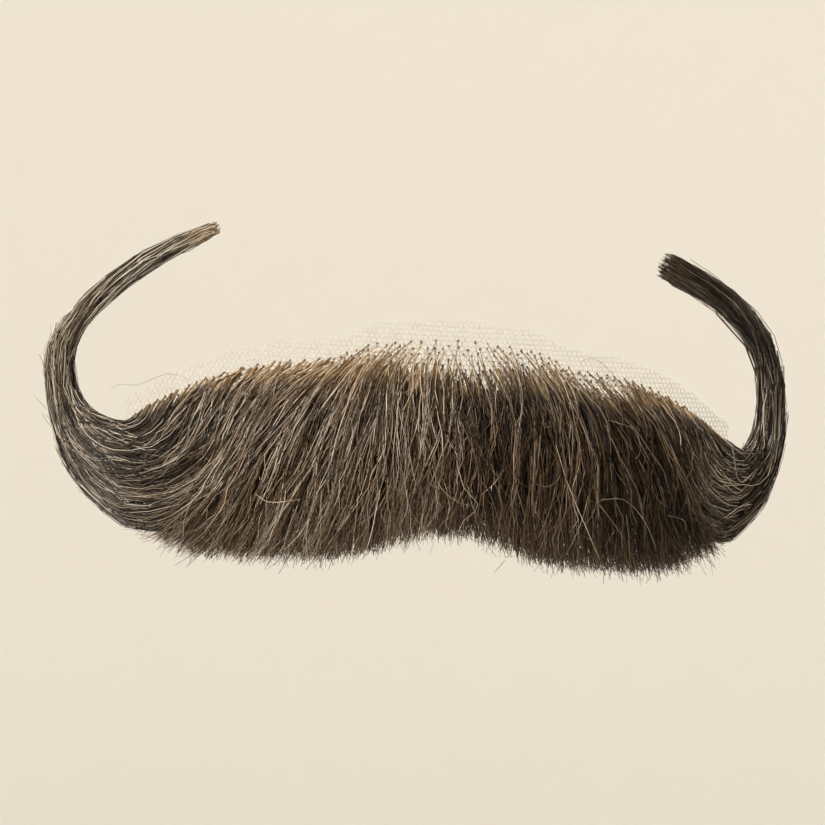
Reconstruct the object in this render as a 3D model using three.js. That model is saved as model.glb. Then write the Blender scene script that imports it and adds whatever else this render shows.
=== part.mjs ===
import * as THREE from 'three';

// A hand-knotted false moustache with two waxed, upturned tips.
// Millimetres, +Z up, +X to the viewer's right, and -Y the front that the viewer sees.
// The origin is the middle of the net's back, where it is glued over the lip.

// The form that the moustache wraps: flat over the lip, then falling back towards the cheeks.
const outerEdge = 66.4;       // from the parting to the outside of a curl
const wrapDepth = 29.0;       // how far back the wrap has gone at the outer edge
const wrapPower = 2.1;        // how late the wrap turns back
const seatWidth = 6.0;        // flat middle of the net's back

// The net
const netWall = 1.0;          // thickness of the net
const netReach = 53.5;        // from the parting to the end of the net
const netMargin = 3.4;        // bare net above the first row of knots
const netHeight = 19.0;       // height of the net at the parting
const netEndHeight = 5.5;     // height of the net at its ends

// The hair
const seatGap = 0.3;          // between pieces that lie against each other
const rootRise = 6.4;         // first row of knots above the origin, at the parting
const rootFall = 16.6;        // how far the row of knots drops on its way to a curl
const wingReach = 54.6;       // from the parting to where the row of knots meets a curl
const wingDrop = 32.7;        // from the origin down to the lowest cut ends
const partingDrop = 27.3;     // from the origin down to the cut ends at the parting
const hairBulk = 6.6;         // thickest part of a wing
const rootBulk = 1.3;         // a wing at its row of knots
const cutBulk = 2.6;          // a wing at its cut ends
const curlBulk = 5.4;         // a wing where a curl takes over from it

// The locks
const cutLocks = 10;          // locks of a wing that hang down to its cut ends
const sideLocks = 5;          // locks of a wing that run on into its curl
const lockFurrow = 1.6;       // depth of the furrow between two locks
const lockPoint = 1.7;        // how far a lock's point reaches past the furrows beside it
const lockUneven = 0.5;       // how far one lock's point hangs lower or higher than the next
const curlLocks = 7;          // locks round a curl's sheaf
const curlFurrow = 0.11;      // depth of a curl's furrows, as a share of its radius
const curlTwist = 150;        // turn of the locks from a curl's base to its tip, in degrees

// The curls
const curlWidth = 4.9;        // width of a curl where it turns upwards
const curlStandoff = 4.2;     // middle of a curl in front of the wrap
const tipStandoff = 8.0;      // the same at its tip

// Where the row of knots runs: shares of wingReach outwards and of rootFall downwards.
const knotRow = [
  { out: 0.00, down: 0.00 },
  { out: 0.15, down: 0.03 },
  { out: 0.27, down: 0.09 },
  { out: 0.38, down: 0.23 },
  { out: 0.56, down: 0.31 },
  { out: 0.70, down: 0.44 },
  { out: 0.84, down: 0.66 },
  { out: 1.00, down: 1.00 },
];

// Where the cut ends lie: shares of wingReach outwards, and of the way from partingDrop to wingDrop.
const cutRow = [
  { out: 0.00, drop: 0.00 },
  { out: 0.09, drop: 0.10 },
  { out: 0.17, drop: 0.32 },
  { out: 0.26, drop: 0.66 },
  { out: 0.34, drop: 0.88 },
  { out: 0.50, drop: 0.98 },
  { out: 0.70, drop: 1.00 },
  { out: 0.79, drop: 0.90 },
  { out: 0.86, drop: 0.60 },
  { out: 0.92, drop: 0.20 },
  { out: 1.00, drop: -0.30 },
];

// How the locks of each wing fan out: at 0 is the parting, and they end evenly along the cut ends up
// to 1 at the foot of the seam with the curl, and then up that seam to 2 at its top.
// root:   where a lock starts on the row of knots, as a share of seamTop
// leave:  which way it leaves its knots, in degrees outwards from straight down
// arrive: which way it runs at its end, measured in the same way
const leftFan = [
  { at: 0.00, root: 0.00, leave: 2, arrive: 3 },
  { at: 0.15, root: 0.06, leave: 16, arrive: 8 },
  { at: 0.31, root: 0.12, leave: 32, arrive: 13 },
  { at: 0.63, root: 0.22, leave: 47, arrive: 24 },
  { at: 1.00, root: 0.38, leave: 55, arrive: 45 },
  { at: 1.32, root: 0.51, leave: 60, arrive: 66 },
  { at: 1.65, root: 0.67, leave: 56, arrive: 76 },
  { at: 2.00, root: 0.93, leave: 50, arrive: 84 },
];
const rightFan = [
  { at: 0.00, root: 0.00, leave: 2, arrive: 2 },
  { at: 0.12, root: 0.05, leave: 12, arrive: 6 },
  { at: 0.36, root: 0.20, leave: 34, arrive: 13 },
  { at: 0.60, root: 0.34, leave: 42, arrive: 19 },
  { at: 0.80, root: 0.46, leave: 44, arrive: 26 },
  { at: 1.00, root: 0.58, leave: 44, arrive: 42 },
  { at: 1.34, root: 0.70, leave: 44, arrive: 63 },
  { at: 1.70, root: 0.80, leave: 46, arrive: 76 },
  { at: 2.00, root: 0.93, leave: 46, arrive: 84 },
];

// How thick a wing is on the way from its knots to its ends: swell is a share of the way from rootBulk
// up to hairBulk, ended is how much cutBulk or curlBulk has taken over, and furrow a share of lockFurrow.
const bulkRise = [
  { way: 0.00, swell: 0.00, ended: 0.00, furrow: 0.00 },
  { way: 0.12, swell: 0.34, ended: 0.00, furrow: 0.50 },
  { way: 0.30, swell: 0.74, ended: 0.00, furrow: 0.90 },
  { way: 0.55, swell: 1.00, ended: 0.00, furrow: 1.00 },
  { way: 0.80, swell: 0.90, ended: 0.55, furrow: 0.75 },
  { way: 1.00, swell: 0.80, ended: 1.00, furrow: 0.45 },
];

// The curls, each with the seam where it takes over from its wing and the sheaf's own path.
// out is a share of reach, up one of rise, width one of curlWidth and bulk one of curlBulk.
// heading is the way that the hair runs, in degrees above straight outwards.
const leftCurl = {
  fan: leftFan,
  reach: 64.6,                // from the parting to the middle of the sheaf at its widest
  rise: 23.6,                 // from the origin up to the tip
  seamTop: 55.0,              // from the parting to the top of the seam
  seamFoot: 46.6,             // from the parting to the foot of the seam
  path: [
    { out: 0.863, up: -0.775, heading: -8, width: 3.58, bulk: 1.06 },
    { out: 0.922, up: -0.653, heading: 7, width: 2.67, bulk: 1.10 },
    { out: 0.962, up: -0.487, heading: 23, width: 1.98, bulk: 1.08 },
    { out: 0.989, up: -0.263, heading: 48, width: 1.35, bulk: 1.02 },
    { out: 1.004, up: -0.032, heading: 79, width: 1.06, bulk: 0.94 },
    { out: 0.987, up: 0.184, heading: 106, width: 0.96, bulk: 0.90 },
    { out: 0.941, up: 0.385, heading: 129, width: 0.93, bulk: 0.88 },
    { out: 0.875, up: 0.573, heading: 144, width: 0.98, bulk: 0.86 },
    { out: 0.807, up: 0.737, heading: 156, width: 0.96, bulk: 0.80 },
    { out: 0.728, up: 0.867, heading: 161, width: 0.80, bulk: 0.66 },
    { out: 0.634, up: 1.000, heading: 160, width: 0.42, bulk: 0.40 },
  ],
};
const rightCurl = {
  fan: rightFan,
  reach: 62.7,
  rise: 21.4,
  seamTop: 53.6,
  seamFoot: 49.6,
  path: [
    { out: 0.877, up: -0.841, heading: -5, width: 2.90, bulk: 1.06 },
    { out: 0.923, up: -0.738, heading: 8, width: 2.31, bulk: 1.10 },
    { out: 0.958, up: -0.591, heading: 22, width: 1.88, bulk: 1.10 },
    { out: 0.981, up: -0.375, heading: 45, width: 1.38, bulk: 1.06 },
    { out: 0.991, up: -0.100, heading: 80, width: 1.08, bulk: 1.02 },
    { out: 0.974, up: 0.138, heading: 103, width: 1.03, bulk: 1.00 },
    { out: 0.943, up: 0.346, heading: 120, width: 1.06, bulk: 0.98 },
    { out: 0.885, up: 0.544, heading: 141, width: 1.12, bulk: 0.96 },
    { out: 0.787, up: 0.731, heading: 153, width: 1.14, bulk: 0.92 },
    { out: 0.681, up: 0.863, heading: 155, width: 1.16, bulk: 0.84 },
    { out: 0.568, up: 0.994, heading: 163, width: 0.90, bulk: 0.60 },
  ],
};

// Steps and blends of the meshes
const wayStations = [0, 0.05, 0.13, 0.24, 0.38, 0.53, 0.68, 0.82, 0.93, 1];
const samplesPerLock = 4;
const unevenTurn = 2.4;       // step of the wave that makes the locks' points uneven, in radians
const narrowingPower = 1.3;   // how late the net narrows on its way to its ends
const seamBlend = [0.7, 1.1]; // stretch of the fan over which a wing's ends go over from cut to seam
const sweepBlend = [0.95, 1.2];  // where in the fan the locks begin to sweep wider into the seam
const seamSweep = 0.4;       // how much wider they sweep
const pointPower = 4;         // how late a lock is drawn out to its point
const slabSquareness = 0.45;  // exponent of the curl's section at the seam, where 1 is an ellipse
const roundFrom = 0.42;       // share of a curl's path where its slab has become a round sheaf
const grooveFrom = 0.12;      // share of a curl's path where its furrows have their full depth
const slopeStep = 0.5;        // distance to each side over which the wrap's slope is measured
const curlSteps = 30;
const netSteps = 18;
const netRows = 3;

// A value read from a table's named columns, smoothly between its rows.
function read(table, key, column, at) {
  const last = table.length - 1;
  let row = 0;
  while (row < last - 1 && at > table[row + 1][key]) row += 1;
  const slope = (i) => {
    const low = table[Math.max(i - 1, 0)];
    const high = table[Math.min(i + 1, last)];
    return (high[column] - low[column]) / (high[key] - low[key]);
  };
  const span = table[row + 1][key] - table[row][key];
  const t = THREE.MathUtils.clamp((at - table[row][key]) / span, 0, 1);
  const start = table[row][column] * (1 - t) ** 2 * (1 + 2 * t);
  const end = table[row + 1][column] * t ** 2 * (3 - 2 * t);
  return start + end + span * t * (1 - t) * (slope(row) * (1 - t) - slope(row + 1) * t);
}

// How far back the glued surface lies at a distance from the parting.
function wrap(x) {
  const turned = Math.max(Math.abs(x) - seatWidth / 2, 0) / (outerEdge - seatWidth / 2);
  return wrapDepth * turned ** wrapPower;
}

// Height of the row of knots at a distance from the parting.
function knotHeight(out) {
  return rootRise - rootFall * read(knotRow, 'out', 'down', Math.min(out / wingReach, 1));
}

// Height of the cut ends at a distance from the parting.
function cutHeight(out) {
  const drop = read(cutRow, 'out', 'drop', Math.min(out / wingReach, 1));
  return -THREE.MathUtils.lerp(partingDrop, wingDrop, drop);
}

// Closes rings of points, each with the same count, into one solid with flat ends.
// The winding is put right afterwards, so the same code serves both sides.
function ringSolid(rings) {
  const count = rings[0].length;
  const points = rings.flat();
  const faces = [];
  for (let i = 0; i < rings.length - 1; i += 1) {
    for (let j = 0; j < count; j += 1) {
      const a = i * count + j;
      const b = i * count + ((j + 1) % count);
      faces.push([a, b, b + count], [a, b + count, a + count]);
    }
  }
  capRing(points, faces, rings[0], 0, false);
  capRing(points, faces, rings[rings.length - 1], (rings.length - 1) * count, true);
  return closedGeometry(points, faces);
}

// Fills the end of a ring with a fan of triangles round its middle.
function capRing(points, faces, ring, first, forwards) {
  const middle = ring.reduce((sum, p) => sum.add(p), new THREE.Vector3()).divideScalar(ring.length);
  const centre = points.push(middle) - 1;
  for (let j = 0; j < ring.length; j += 1) {
    const a = first + j;
    const b = first + ((j + 1) % ring.length);
    faces.push(forwards ? [centre, a, b] : [centre, b, a]);
  }
}

// Makes a geometry from points and triangles, turned so that its faces point outwards.
function closedGeometry(points, faces) {
  let volume = 0;
  for (const [a, b, c] of faces) {
    volume += points[a].dot(new THREE.Vector3().crossVectors(points[b], points[c]));
  }
  const turned = volume < 0 ? faces.map(([a, b, c]) => [a, c, b]) : faces;
  const geometry = new THREE.BufferGeometry();
  geometry.setAttribute('position', new THREE.Float32BufferAttribute(points.flatMap((p) => p.toArray()), 3));
  geometry.setIndex(turned.flat());
  geometry.computeVertexNormals();
  return geometry;
}

// The two ends of the seam where a curl takes over from its wing, on the plus side.
function seamEnds(curl) {
  return {
    top: new THREE.Vector2(curl.seamTop, knotHeight(curl.seamTop)),
    foot: new THREE.Vector2(curl.seamFoot, cutHeight(curl.seamFoot)),
  };
}

// The net: a crescent with a flat middle, closed from one end to the other.
function netGeometry() {
  const seatEdge = seatWidth / 2;
  const stations = [];
  for (let i = 0; i <= netSteps; i += 1) {
    const x = THREE.MathUtils.lerp(seatEdge, netReach, i / netSteps);
    stations.unshift(-x);
    stations.push(x);
  }
  const rings = stations.map((x) => {
    const top = knotHeight(Math.abs(x)) + netMargin;
    const narrowing = Math.cos((Math.PI / 2) * (Math.abs(x) / netReach) ** narrowingPower);
    const foot = top - THREE.MathUtils.lerp(netEndHeight, netHeight, narrowing);
    const back = [];
    const front = [];
    for (let row = 0; row <= netRows; row += 1) {
      const z = THREE.MathUtils.lerp(foot, top, row / netRows);
      back.push(new THREE.Vector3(x, wrap(x), z));
      front.unshift(new THREE.Vector3(x, wrap(x) - netWall, z));
    }
    return [...back, ...front];
  });
  return ringSolid(rings);
}

// Front-view place on a lock, on the plus side: at picks the lock and way runs from its knots to its end.
// A lock of the cut ends is drawn out by point millimetres.
function lockPlace(curl, at, way, point) {
  const seam = seamEnds(curl);
  const rootOut = read(curl.fan, 'at', 'root', at) * curl.seamTop;
  const root = new THREE.Vector2(rootOut, knotHeight(rootOut));
  const cutOut = at * curl.seamFoot;
  const onSeam = at > 1;
  const cutEnd = new THREE.Vector2(cutOut, cutHeight(cutOut));
  const end = onSeam ? seam.foot.clone().lerp(seam.top, at - 1) : cutEnd;
  const run = end.clone().sub(root);
  const length = run.length();
  const leave = THREE.MathUtils.degToRad(read(curl.fan, 'at', 'leave', at));
  const arrive = THREE.MathUtils.degToRad(read(curl.fan, 'at', 'arrive', at));
  const early = length * way * (1 - way) ** 2;
  const sweep = 1 + seamSweep * THREE.MathUtils.smoothstep(at, ...sweepBlend);
  const late = length * sweep * way * way * (1 - way);
  const place = root.addScaledVector(run, way * way * (3 - 2 * way));
  place.x += early * Math.sin(leave) - late * Math.sin(arrive);
  place.y += late * Math.cos(arrive) - early * Math.cos(leave);
  return onSeam ? place : place.addScaledVector(run, (point * way ** pointPower) / length);
}

// A wing: a smooth backing against the net, and a front of ridged locks that run out to points.
function wingGeometry(curl, side) {
  const columns = (cutLocks + sideLocks) * samplesPerLock;
  const cutColumns = cutLocks * samplesPerLock;
  const innerEdge = seatGap / 2;
  const backOffset = netWall + seatGap;
  const front = [];
  const back = [];
  for (let i = 0; i <= columns; i += 1) {
    const at = i <= cutColumns ? i / cutColumns : 1 + (i - cutColumns) / (columns - cutColumns);
    const acrossLock = (i % samplesPerLock) / samplesPerLock;
    const ridge = Math.sin(Math.PI * acrossLock);
    const tip = 1 - Math.abs(2 * acrossLock - 1);
    const lock = Math.floor(i / samplesPerLock);
    const point = lockPoint * (tip - 0.5) + lockUneven * tip * Math.sin(lock * unevenTurn);
    const seamward = THREE.MathUtils.smoothstep(at, ...seamBlend);
    const endBulk = THREE.MathUtils.lerp(cutBulk, curlBulk, seamward);
    for (const way of wayStations) {
      const place = lockPlace(curl, at, way, i === cutColumns ? 0 : point);
      const x = side * Math.max(place.x, innerEdge);
      const full = THREE.MathUtils.lerp(rootBulk, hairBulk, read(bulkRise, 'way', 'swell', way));
      const bulk = THREE.MathUtils.lerp(full, endBulk, read(bulkRise, 'way', 'ended', way));
      const furrow = lockFurrow * (1 - ridge) * read(bulkRise, 'way', 'furrow', way);
      back.push(new THREE.Vector3(x, wrap(x) - backOffset, place.y));
      front.push(new THREE.Vector3(x, wrap(x) - backOffset - bulk + furrow, place.y));
    }
  }
  return slabGeometry(front, back, wayStations.length);
}

// Closes two matching grids of points into one slab, with walls round their edges.
function slabGeometry(front, back, rows) {
  const columns = front.length / rows;
  const shift = front.length;
  const faces = [];
  for (let i = 0; i < columns - 1; i += 1) {
    for (let j = 0; j < rows - 1; j += 1) {
      const a = i * rows + j;
      const b = a + rows;
      faces.push([a, b, b + 1], [a, b + 1, a + 1]);
      faces.push([a + shift, b + 1 + shift, b + shift], [a + shift, a + 1 + shift, b + 1 + shift]);
    }
  }
  const edge = [];
  for (let i = 0; i < columns; i += 1) edge.push(i * rows);
  for (let j = 1; j < rows; j += 1) edge.push((columns - 1) * rows + j);
  for (let i = columns - 2; i >= 0; i -= 1) edge.push(i * rows + rows - 1);
  for (let j = rows - 2; j > 0; j -= 1) edge.push(j);
  edge.forEach((a, k) => {
    const b = edge[(k + 1) % edge.length];
    faces.push([b, a, a + shift], [b, a + shift, b + shift]);
  });
  return closedGeometry([...front, ...back], faces);
}

// A curl's stations from the seam with its wing to its tip, in millimetres on the plus side.
function curlStations(curl) {
  const seam = seamEnds(curl);
  const rise = seam.top.clone().sub(seam.foot);
  const onward = new THREE.Vector2(rise.y, -rise.x).normalize();
  const middle = seam.top.clone().add(seam.foot).multiplyScalar(0.5).addScaledVector(onward, seatGap);
  const first = {
    x: middle.x,
    z: middle.y,
    heading: THREE.MathUtils.radToDeg(Math.atan2(onward.y, onward.x)),
    width: rise.length() - seatGap,
    bulk: curlBulk,
  };
  const rest = curl.path.map((row) => ({
    x: row.out * curl.reach,
    z: row.up * curl.rise,
    heading: row.heading,
    width: row.width * curlWidth,
    bulk: row.bulk * curlBulk,
  }));
  return [first, ...rest].map((row, i) => ({ ...row, at: i / rest.length }));
}

// A curl: a grooved sheaf of twisted locks, from the wing's seam out, up and in to its blunt tip.
// Its base is a broad slab that follows the wrap like the wing, and it draws together to a round sheaf.
function curlGeometry(curl, side) {
  const stations = curlStations(curl);
  const sides = curlLocks * 2;
  const rings = [];
  for (let i = 0; i <= curlSteps; i += 1) {
    const at = i / curlSteps;
    const value = (column) => read(stations, 'at', column, at);
    const heading = THREE.MathUtils.degToRad(value('heading'));
    const drawn = THREE.MathUtils.smoothstep(at, 0, roundFrom);
    const baseStandoff = netWall + seatGap + value('bulk') / 2;
    const held = THREE.MathUtils.lerp(baseStandoff, curlStandoff, drawn);
    const standoff = THREE.MathUtils.lerp(held, tipStandoff, THREE.MathUtils.smoothstep(at, roundFrom, 1));
    const slope = (wrap(value('x') + slopeStep) - wrap(value('x') - slopeStep)) / (2 * slopeStep) * drawn;
    const forward = new THREE.Vector3(Math.cos(heading), slope * Math.cos(heading), Math.sin(heading));
    const wide = new THREE.Vector3(-Math.sin(heading), 0, Math.cos(heading));
    const deep = new THREE.Vector3().crossVectors(forward, wide).normalize();
    const twist = THREE.MathUtils.degToRad(curlTwist) * THREE.MathUtils.smoothstep(at, roundFrom, 1);
    const squareness = THREE.MathUtils.lerp(slabSquareness, 1, drawn);
    const ring = [];
    for (let j = 0; j < sides; j += 1) {
      const angle = ((j + 0.5) / sides) * 2 * Math.PI + twist;
      const groove = j % 2 === 0 ? 1 : 1 - curlFurrow * Math.min(at / grooveFrom, 1);
      const squared = (v) => Math.sign(v) * Math.abs(v) ** squareness;
      const across = (value('width') / 2) * squared(Math.cos(angle)) * groove;
      const depth = (value('bulk') / 2) * squared(Math.sin(angle)) * groove;
      const place = new THREE.Vector3(value('x'), 0, value('z')).addScaledVector(wide, across);
      const follow = THREE.MathUtils.lerp(wrap(place.x), wrap(value('x')), drawn);
      place.addScaledVector(deep, depth);
      place.y += follow - standoff;
      ring.push(new THREE.Vector3(side * place.x, place.y, place.z));
    }
    rings.push(ring);
  }
  return ringSolid(rings);
}

const net = new THREE.MeshStandardMaterial({ color: 0xd8c8ae, roughness: 0.85, metalness: 0 });
const combedHair = new THREE.MeshStandardMaterial({ color: 0x4b3c2b, roughness: 0.55, metalness: 0 });
const waxedHair = new THREE.MeshStandardMaterial({ color: 0x453a2e, roughness: 0.45, metalness: 0 });

const group = new THREE.Group();
const addPiece = (name, geometry, material) => {
  const mesh = new THREE.Mesh(geometry, material);
  mesh.name = name;
  group.add(mesh);
};
addPiece('lace_net', netGeometry(), net);
addPiece('wing_left', wingGeometry(leftCurl, -1), combedHair);
addPiece('wing_right', wingGeometry(rightCurl, 1), combedHair);
addPiece('curl_left', curlGeometry(leftCurl, -1), waxedHair);
addPiece('curl_right', curlGeometry(rightCurl, 1), waxedHair);

export default group;
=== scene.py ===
import math

import bpy
import numpy as np
from mathutils import Matrix, Vector


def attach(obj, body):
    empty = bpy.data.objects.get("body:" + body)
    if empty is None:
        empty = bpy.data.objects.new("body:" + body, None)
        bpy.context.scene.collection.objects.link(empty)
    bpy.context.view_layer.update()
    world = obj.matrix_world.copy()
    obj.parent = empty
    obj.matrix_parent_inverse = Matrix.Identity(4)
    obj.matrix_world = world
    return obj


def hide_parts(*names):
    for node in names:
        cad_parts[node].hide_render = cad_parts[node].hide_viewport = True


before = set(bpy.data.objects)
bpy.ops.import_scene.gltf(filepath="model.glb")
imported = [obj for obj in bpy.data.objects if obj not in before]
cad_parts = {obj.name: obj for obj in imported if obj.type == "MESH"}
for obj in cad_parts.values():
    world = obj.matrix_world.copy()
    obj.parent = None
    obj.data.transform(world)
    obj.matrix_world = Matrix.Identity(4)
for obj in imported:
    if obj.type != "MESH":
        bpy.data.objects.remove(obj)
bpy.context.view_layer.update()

# A hand-knotted moustache of brown hair on fine net, combed to both sides and waxed into two curls.
# Sizes are in millimetres until a mesh is made, with +X to the viewer's right and -Y to the front.

MM = 0.001

# The surface that the moustache wraps: flat over the seat, then further back up to the outer edge
OUTER_EDGE = 66.4
WRAP_DEPTH = 29.0
WRAP_POWER = 2.1
SEAT_WIDTH = 6.0

# The net
NET_WALL = 1.0
NET_REACH = 53.5
NET_MARGIN = 3.4
NET_HEIGHT = 19.0
NET_END_HEIGHT = 5.5
NET_NARROWING = 1.3
NET_CELL = 0.92
NET_THREAD = 0.21

# The hair's outer form
SEAT_GAP = 0.3
SEAM_SWEEP = 0.4
ROOT_RISE = 6.4
ROOT_FALL = 16.6
WING_REACH = 54.6
WING_DROP = 32.7
PARTING_DROP = 27.3
HAIR_BULK = 6.6
ROOT_BULK = 1.3
CUT_BULK = 2.6
CURL_BULK = 5.4
CURL_WIDTH = 4.9
CURL_STANDOFF = 4.2
TIP_STANDOFF = 8.0
CURL_TWIST = math.radians(150)
ROUND_FROM = 0.42

# The knots: a first row with wide gaps, and closer rows below it. ROW_LOCKS says how many locks hang
# from a knot of each row. In the shown rows each knot has a lock, and the thinned rows have fewer
# locks near the parting. The side shift is a share of the pitch.
KNOT_ROWS = 11
ROW_PITCH = 1.15
KNOT_PITCH = 1.15
KNOT_SIZE = 0.50
KNOT_STANDOFF = 0.15
ROOT_STANDOFF = 0.2
KNOT_SIDE_SHIFT = 0.25
KNOT_DROP_SHIFT = 0.45
MISSING_KNOTS = 0.35
LOWEST_KNOT = 0.65
ROW_LOCKS = [1, 1, 1, 2, 4, 6, 7, 5, 3, 3, 3]
SHOWN_ROWS = 3
THINNED_ROWS = 5
TOP_ROWS = 7

# How the locks gather: in clumps with a width in the fan and a hold on their locks, and in the curls
# in bundles. USUAL_FANNING is the share of the row of knots that a tenth of the fan usually takes,
# and CURL_EDGE is how near to a curl's edges its hairs may lie.
CLUMPS = 40
CLUMP_WIDTH = (0.025, 0.09)
CLUMP_HOLD = (0.05, 0.6)
USUAL_FANNING = 0.055
BUNDLES = 4.5
BUNDLE_HOLD = 0.35
CURL_EDGE = 0.99

# Where the row of knots runs: shares of WING_REACH outwards and of ROOT_FALL downwards.
KNOT_ROW = {
    "out": [0.00, 0.15, 0.27, 0.38, 0.56, 0.70, 0.84, 1.00],
    "down": [0.00, 0.03, 0.09, 0.23, 0.31, 0.44, 0.66, 1.00],
}
# Where the cut ends lie: shares of WING_REACH outwards, and of the way from PARTING_DROP to WING_DROP.
CUT_ROW = {
    "out": [0.00, 0.09, 0.17, 0.26, 0.34, 0.50, 0.70, 0.79, 0.86, 0.92, 1.00],
    "drop": [0.00, 0.10, 0.32, 0.66, 0.88, 0.98, 1.00, 0.90, 0.60, 0.20, -0.30],
}
# How thick a wing is on the way from its knots to its ends.
BULK_RISE = {
    "way": [0.00, 0.12, 0.30, 0.55, 0.80, 1.00],
    "swell": [0.00, 0.34, 0.74, 1.00, 0.90, 0.80],
    "ended": [0.00, 0.00, 0.00, 0.00, 0.55, 1.00],
}
# Loose hairs that lie across the others or stand out at the edges: their distance in front of the
# wrap, their tone, and the places that they pass.
LOOSE_HAIRS = [
    {
        "off": 1.6,
        "tone": 0.60,
        "x": [-43.5, -46.8, -49.9, -52.3, -54.7, -56.1],
        "z": [-2.3, -1.5, -2.9, -3.9, -3.8, -4.8],
    },
    {"off": 1.6, "tone": 0.55, "x": [30.0, 28.0, 25.4, 22.8, 22.5], "z": [0.5, 2.5, 4.3, 4.0, 3.0]},
    {"off": 8.6, "tone": 0.95, "x": [-33.2, -30.7, -25.9], "z": [-21.0, -22.2, -21.5]},
    {"off": 8.2, "tone": 0.90, "x": [-24.2, -25.7, -28.3], "z": [-24.7, -27.3, -30.5]},
    {"off": 8.2, "tone": 0.97, "x": [-12.9, -13.8, -14.9], "z": [-19.1, -25.9, -31.0]},
    {"off": 8.8, "tone": 0.97, "x": [16.8, 19.9, 26.0], "z": [-10.4, -17.9, -29.7]},
    {"off": 8.8, "tone": 0.80, "x": [26.6, 31.5, 32.6, 31.7], "z": [-5.9, -7.4, -10.8, -12.5]},
    {"off": 8.6, "tone": 0.85, "x": [25.5, 30.2, 34.2, 36.9], "z": [-19.5, -19.4, -22.8, -27.6]},
    {"off": 8.6, "tone": 0.80, "x": [25.5, 27.9, 30.6], "z": [-20.3, -22.9, -26.2]},
    {"off": 8.6, "tone": 0.85, "x": [38.8, 42.3, 43.0], "z": [-21.9, -22.7, -24.4]},
    {"off": 6.9, "tone": 0.85, "x": [50.4, 54.7, 59.3], "z": [-17.2, -15.7, -15.4]},
    {"off": 7.2, "tone": 0.85, "x": [46.8, 49.5, 52.5], "z": [-11.4, -13.5, -14.9]},
    {"off": 7.4, "tone": 0.90, "x": [6.5, 6.2, 6.7], "z": [1.5, -3.2, -6.6]},
    {"off": 8.8, "tone": 0.50, "x": [14.8, 17.5, 20.5], "z": [-7.6, -7.0, -6.2]},
    {"off": 5.0, "tone": 0.45, "x": [-66.2, -67.3, -68.4], "z": [-9.0, -7.7, -6.6]},
    {"off": 5.0, "tone": 0.40, "x": [-65.0, -66.2, -67.2], "z": [-12.4, -10.9, -9.4]},
    {"off": 5.0, "tone": 0.35, "x": [9.7, 8.9, 7.9], "z": [-30.3, -31.4, -32.6]},
]
# The two sides. In a fan, at 0 is the parting, 1 the foot of the seam with the curl and 2 its top, and
# leave and arrive are headings in degrees outwards from straight down. A curl's path holds shares of its
# reach and rise, its heading in degrees above straight outwards, and shares of CURL_WIDTH and CURL_BULK.
# Some knots closer to the parting than parting_thin are missing, and locks are fewer up to thin_to in the
# fan. Tone is added to the combed hair's, and on the right it is painted shade. Shaded is painted shade
# that darkens the combed hair before the seam. Along a curl, a later tone is added to bend_tone in its
# second half: painted light on the left curl and painted shade on the right. The curl's hairs differ by
# curl_spread. Reach, rise, parting_thin, curl_wander and edge_reach are in millimetres.
LEFT = {
    "name": "left",
    "sign": -1,
    "reach": 64.6,
    "rise": 23.6,
    "seam_top": 55.0,
    "seam_foot": 46.6,
    "first_pitch": 2.5,
    "parting_thin": 1.7,
    "thin_to": 0.08,
    "fan": {
        "at": [0.00, 0.15, 0.31, 0.63, 1.00, 1.32, 1.65, 2.00],
        "root": [0.00, 0.06, 0.12, 0.22, 0.38, 0.51, 0.67, 0.93],
        "leave": [2, 16, 32, 47, 55, 60, 56, 50],
        "arrive": [3, 8, 13, 24, 45, 66, 76, 84],
    },
    "path": {
        "out": [0.863, 0.922, 0.962, 0.989, 1.004, 0.987, 0.941, 0.875, 0.807, 0.728, 0.634],
        "up": [-0.775, -0.653, -0.487, -0.263, -0.032, 0.184, 0.385, 0.573, 0.737, 0.867, 1.000],
        "heading": [-8, 7, 23, 48, 79, 106, 129, 144, 156, 161, 160],
        "width": [3.58, 2.67, 1.98, 1.35, 1.06, 0.96, 0.93, 0.98, 0.96, 0.80, 0.42],
        "bulk": [1.06, 1.10, 1.08, 1.02, 0.94, 0.90, 0.88, 0.86, 0.80, 0.66, 0.40],
    },
    "tip_fray": 0.25,
    "tip_gather": 0.5,
    "tone": 0.00,
    "shaded": 0.08,
    "tip_colour": (0.36, 0.25, 0.13),
    "bend_tone": 0.37,
    # Painted light on the second half of the left curl, which faces the light.
    "later_light_and_shade": 0.20,
    "curl_spread": 1.2,
    "curl_wander": 2.4,
    "edge_hairs": 70,
    "edge_reach": 5.5,
}
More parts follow.
